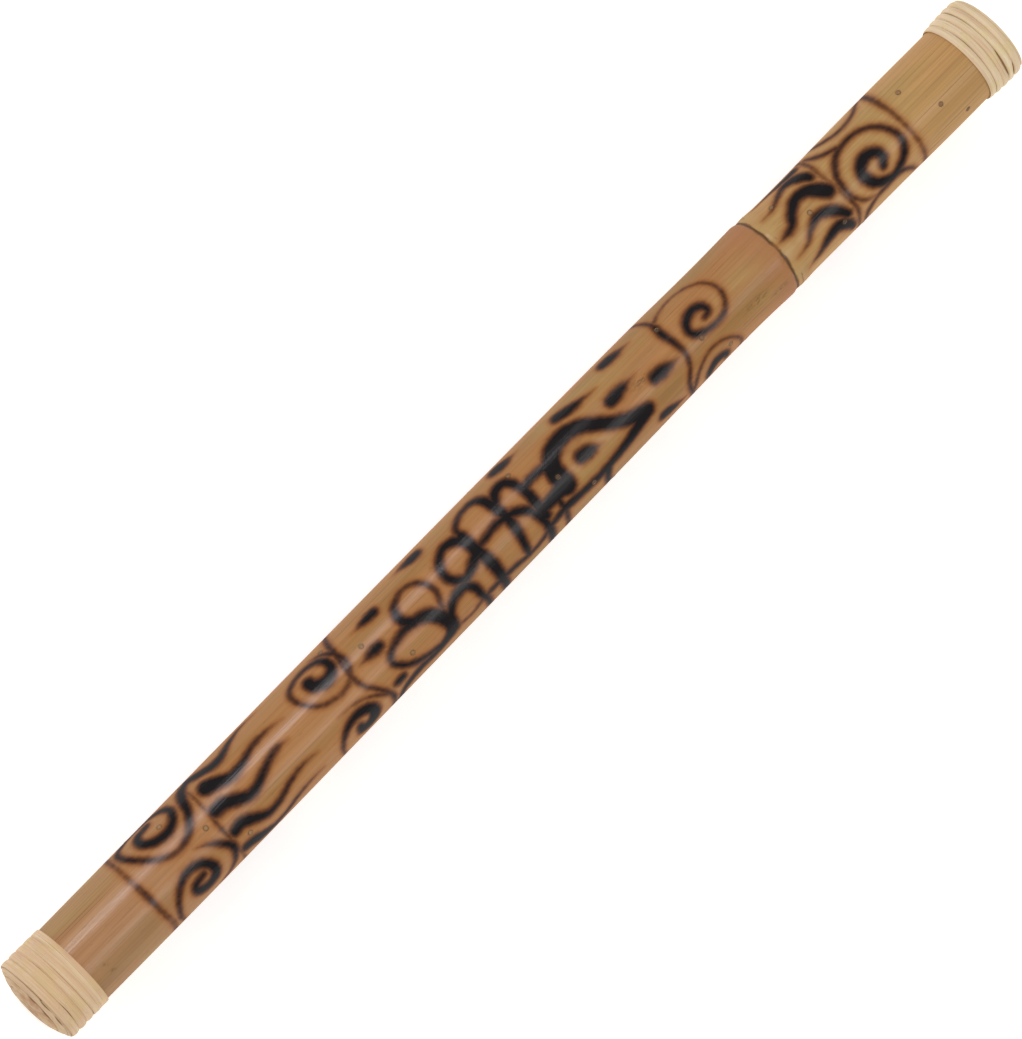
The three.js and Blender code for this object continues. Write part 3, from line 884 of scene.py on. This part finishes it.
def end_coil(side, bulge, rng):
    """Cane coiled flat over the end, from a small hook in the middle out to the rim, where the
    last turn is squeezed to nothing against the winding."""
    section = strand_section()
    turns = np.linspace(0, COIL_TURNS, 760)
    outer = np.minimum(COIL_START + COIL_PITCH * (turns + .5), COIL_EDGE)
    inner = np.maximum(COIL_START + COIL_PITCH * (turns - .5), -.4)
    for at, half, gap in CRACKS:
        outer = outer - gap * np.clip(1 - ((turns - at) / half) ** 2, 0, 1)
    radius, width = (outer + inner) / 2 + wander(rng, len(turns), 34, .1), (outer - inner) * 1.03
    degrees = turns * 360 * side + COIL_AT
    thick = np.interp(radius, [10, 19], [1.7, 1])
    slope = (dome(radius + .1, bulge) - dome(radius - .1, bulge)) / .2
    tilt = np.arctan(slope)[:, None]
    radial, axial = radial_direction(degrees), np.array([side, 0, 0])
    outwards = axial * np.cos(tilt) + radial * np.sin(tilt)
    sideways = radial * np.cos(tilt) - axial * np.sin(tilt)
    crest = CULM_HALF + bulge - dome(radius, bulge)
    centres = place(side * crest, radius, degrees) - outwards * thick[:, None] * MM
    drop = .24 + .1 * np.clip(turns - 3.4, 0, 1) + wander(rng, len(turns), 40, .06)
    points, faces = sweep_strand(centres, outwards, sideways, width * MM, thick * MM, drop, section)
    length = np.cumsum(np.hypot(np.gradient(radius), radius * np.gradient(np.radians(degrees))))
    shade = np.interp(turns, [3.6, 4.4], [1, .4])
    aged = np.interp(turns, [3.1, 4.3], [1, 0])
    return points, faces, strand_marks(length, drop, section, 3 + side, shade, aged)


def dome(radius, bulge):
    """How far the end's surface lies behind its middle at a radius, in mm."""
    return bulge * (radius / DOME_RADIUS) ** 2.6


def lathe(side, x, radii, sides):
    """A solid turned about the stick's axis, from mm along towards one end and mm from the axis."""
    angles = np.arange(sides) * 360 / sides
    points = place(side * x[:, None], radii[:, None], angles).reshape(-1, 3)
    return points, facing_out(points, tube_faces(len(x), sides))


def coil_shade_sheet(side, bulge):
    """A dark sheet under the coil, painted shade for its gaps, seen only through them."""
    radii = np.array([19.8, 19.8, 18, 15, 10, 5, .6])
    x = CULM_HALF + np.maximum(.32, bulge - dome(radii, bulge) - COIL_DEPTH)
    x[0] = DISC_BACK
    return lathe(side, x, radii, sides=64)


def facing_out(points, faces):
    """The faces, turned over if the closed solid they make is inside out."""
    p = np.asarray(points, float)
    fans = np.array([(face[0], b, c) for face in faces for b, c in zip(face[1:-1], face[2:])])
    a, b, c = (p[fans[:, i]] - p.mean(0) for i in range(3))
    volume = np.einsum("ij,ij->", a, np.cross(b, c))
    return faces if volume > 0 else [face[::-1] for face in faces]


# Each end: name, side, mm that it bulges, and then what rim_winding() takes.
ENDS = [
    ("left", -1, 4.6, (BARE_HALF, CULM_HALF), (21.5, 21.55, 21.6, 21.8, 21.8), (.22, .25, .6, .65, .5),
     [(1.93, .06, .4), (3.1, .05, .35)]),
    ("right", 1, 2.2, (BARE_HALF + 2, CULM_HALF - .7), (20.95, 21.3, 21.5, 21.6, 21.4),
     (.5, .5, .55, .55, .6), [(2.12, .07, .9), (3.19, .05, 1)]),
]


def make_end(name, side, bulge, *winding):
    rng = np.random.default_rng(SEED + 2 + side)
    add_strand(f"{name}_cane_winding", f"{name}_rim_winding", *rim_winding(side, *winding, rng))
    add_strand(f"{name}_cane_coil", f"{name}_end_disc", *end_coil(side, bulge, rng))
    # A dark sheet under the coil: painted shade that shows through its gaps.
    new_piece(f"{name}_coil_shade_sheet", *coil_shade_sheet(side, bulge), [GAP_SHADE], slot="rattan")
    make_plug(name, side)


def make_plug(name, side):
    """A turned wooden disc with eased edges."""
    radius = BORE_RADIUS - .25
    inner, outer = PLUG_FACE, CULM_HALF
    profile = [(inner, .5), (inner, radius - .8), (inner + .25, radius - .25), (inner + .8, radius),
               (outer - .6, radius), (outer - .2, radius - .2), (outer, radius - .6), (outer, .5)]
    new_piece(f"{name}_wooden_plug", *lathe(side, *np.array(profile).T, sides=96), [PLUG],
              replaces=[f"{name}_plug"], slot="plug_wood")


# ---- pebbles ----

def make_pebbles():
    """Rounded stones, each a sphere with a few soft waves over it, pressed a little flat."""
    rng = np.random.default_rng(SEED + 9)
    rows, columns = 26, 40
    lat = (np.arange(rows) + .5) / rows * math.pi
    lon = np.arange(columns) / columns * 2 * math.pi
    direction = np.stack([np.sin(lat)[:, None] * np.cos(lon), np.sin(lat)[:, None] * np.sin(lon),
                          np.cos(lat)[:, None] + 0 * lon], -1).reshape(-1, 3)
    faces = tube_faces(rows, columns)
    for name in sorted(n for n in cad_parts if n.startswith("pebble_")):
        low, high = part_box(name)
        centre, half = np.array((low + high) / 2), (high.x - low.x) / 2
        shape = np.ones(len(direction))
        for _ in range(7):
            axis = rng.normal(size=3)
            axis /= np.linalg.norm(axis)
            shape += .05 * np.cos(rng.uniform(1.5, 3.4) * (direction @ axis) + rng.uniform(0, 6))
        shape *= half * .97 / shape.max()
        points = centre + direction * shape[:, None] * rng.uniform(.86, 1, 3)
        new_piece(name.replace("pebble", "river_pebble"), points, facing_out(points - centre, faces),
                  [STONE], body=name, replaces=[name], slot="pebble", sharp=180)


# ---- studio ----

CAMERA_EYE = Vector((-0.5623, 0.0010, AXIS_Z + 2.8))
CAMERA_TARGET = Vector((-0.0068, -0.0002, AXIS_Z))
CAMERA_ROLL = 45.5  # degrees that the stick rises to the right
CAMERA_LENS = 228  # mm, on a sensor 36 mm wide
FLOOR_HALF = 6


def add_camera():
    """Above the stick and beyond its left end, looking down on it."""
    forward = (CAMERA_TARGET - CAMERA_EYE).normalized()
    along = (Vector((1, 0, 0)) - forward * forward.x).normalized()
    right = Matrix.Rotation(math.radians(CAMERA_ROLL), 3, forward) @ along
    turn = Matrix((right, right.cross(forward), -forward)).transposed().to_4x4()
    data = bpy.data.cameras.new("camera")
    data.lens, data.sensor_width = CAMERA_LENS, 36
    data.clip_end = 50
    camera = bpy.data.objects.new("camera", data)
    camera.matrix_world = Matrix.Translation(CAMERA_EYE) @ turn
    bpy.context.scene.collection.objects.link(camera)
    bpy.context.scene.camera = camera


def add_softbox(name, target, tilt, distance, size, radiance, colour):
    """A rectangular light facing target, tilted in degrees from straight up towards +Y."""
    a = math.radians(tilt)
    data = bpy.data.lights.new(name, "AREA")
    data.shape, data.size, data.size_y = "RECTANGLE", *size
    data.energy = radiance * math.pi * size[0] * size[1]
    data.color = colour
    light = bpy.data.objects.new(name, data)
    light.location = Vector(target) + Vector((0, math.sin(a), math.cos(a))) * distance
    light.rotation_euler = (-a, 0, 0)
    bpy.context.scene.collection.objects.link(light)


def make_studio():
    """A white floor, a narrow key light for the streak along the stick, and a wide fill light."""
    points = [(FLOOR_HALF * x, FLOOR_HALF * y, 0) for x, y in ((-1, -1), (1, -1), (1, 1), (-1, 1))]
    mesh = bpy.data.meshes.new("floor")
    mesh.from_pydata(points, [], [(0, 1, 2, 3)])
    mesh.materials.append(floor_paper())
    floor = bpy.data.objects.new("floor", mesh)
    bpy.context.scene.collection.objects.link(floor)
    add_softbox("key_softbox", (-.12, 0, AXIS_Z), tilt=33, distance=1.6, size=(.8, .19), radiance=20.5,
                colour=(1, .96, .99))
    add_softbox("fill_softbox", (-.05, 0, AXIS_Z), tilt=-34, distance=1.8, size=(1.8, .55), radiance=3.6,
                colour=(1, .98, .96))
    world = bpy.data.worlds.new("studio")
    world.use_nodes = True
    world.node_tree.nodes["Background"].inputs["Color"].default_value = (1, 1, 1, 1)
    world.node_tree.nodes["Background"].inputs["Strength"].default_value = .42
    bpy.context.scene.world = world
    bpy.context.scene.view_settings.view_transform = "Standard"


add_camera()
make_studio()
make_culm()
make_pegs()
for end in ENDS:
    make_end(*end)
make_pebbles()
